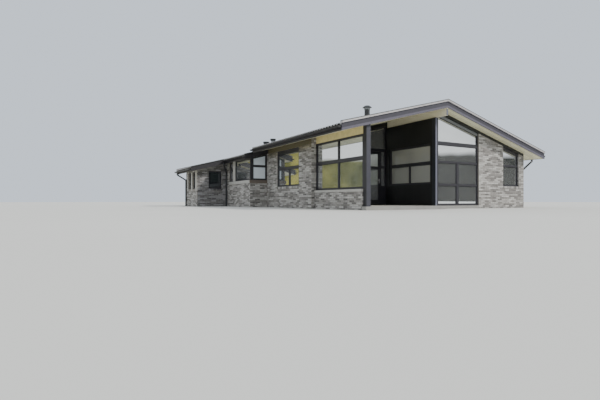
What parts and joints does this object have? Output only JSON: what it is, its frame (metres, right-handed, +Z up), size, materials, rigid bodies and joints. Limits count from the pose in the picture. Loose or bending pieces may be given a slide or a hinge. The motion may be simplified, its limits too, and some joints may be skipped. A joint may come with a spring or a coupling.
{
  "type": "beach house",
  "caption": "Single-storey gabled beach house with dark brick walls, a low corrugated roof, a covered corner terrace behind a glazed windscreen, and an opening terrace door.",
  "frame": {"origin": "on the ground, under the middle of the whole house with its eaves and verges", "axes": "+Z up; +Y from the front gable with the terrace to the rear gable; +X to the right of someone who faces the front gable, so the terrace is on the -X side"},
  "size_m": [12.96, 13, 4.52],
  "materials": {
    "concrete": "matt",
    "brick": "matt",
    "pale_stone": "matt",
    "black_boards": "satin",
    "post_paint": "satin",
    "cream_boards": "satin",
    "dark_frames": "satin",
    "window_glass": "clear",
    "handle_metal": "satin",
    "roof_sheet": "matt",
    "cap_metal": "satin",
    "dark_metal": "satin"
  },
  "bodies": {
    "house": {"floor_slab": "concrete", "terrace_floor": "concrete", "gable_wall": "brick", "left_wall": "brick", "kitchen_wall": "brick", "wing_wall": "brick", "rear_wall": "brick", "right_wall": "brick", "kitchen_post": "pale_stone", "terrace_side_wall": "black_boards", "terrace_back_wall": "black_boards", "terrace_door_lintel": "black_boards", "screen_wall": "brick", "sills": "pale_stone", "corner_post": "post_paint", "ridge_post": "post_paint", "ridge_beam": "cream_boards", "eave_beam": "cream_boards", "gable_frieze": "cream_boards", "gable_frames": "dark_frames", "screen_frame": "dark_frames", "terrace_side_frame": "dark_frames", "terrace_window_frame": "dark_frames", "terrace_door_frame": "dark_frames", "left_window_frame": "dark_frames", "kitchen_frames": "dark_frames", "wing_frames": "dark_frames", "back_frames": "dark_frames", "gable_glass": "window_glass", "terrace_glass": "window_glass", "left_side_glass": "window_glass", "back_glass": "window_glass", "roof_deck_left": "cream_boards", "roof_deck_right": "cream_boards", "roof_sheets_left": "roof_sheet", "roof_sheets_right": "roof_sheet", "roof_caps_left": "cap_metal", "roof_caps_right": "cap_metal", "edge_boards": "post_paint", "gutters": "dark_metal", "downpipes": "dark_metal", "roof_pipes": "dark_metal"},
    "terrace_door": {"terrace_door": "dark_frames", "terrace_door_glass": "window_glass", "terrace_door_handle": "handle_metal"}
  },
  "joints": [
    {"name": "terrace_door_swing", "type": "hinge", "parent": "house", "child": "terrace_door", "pos_m": [-0.984, -3.256, 0], "axis": [0, 0, -1], "range_deg": [0, 95]}
  ]
}
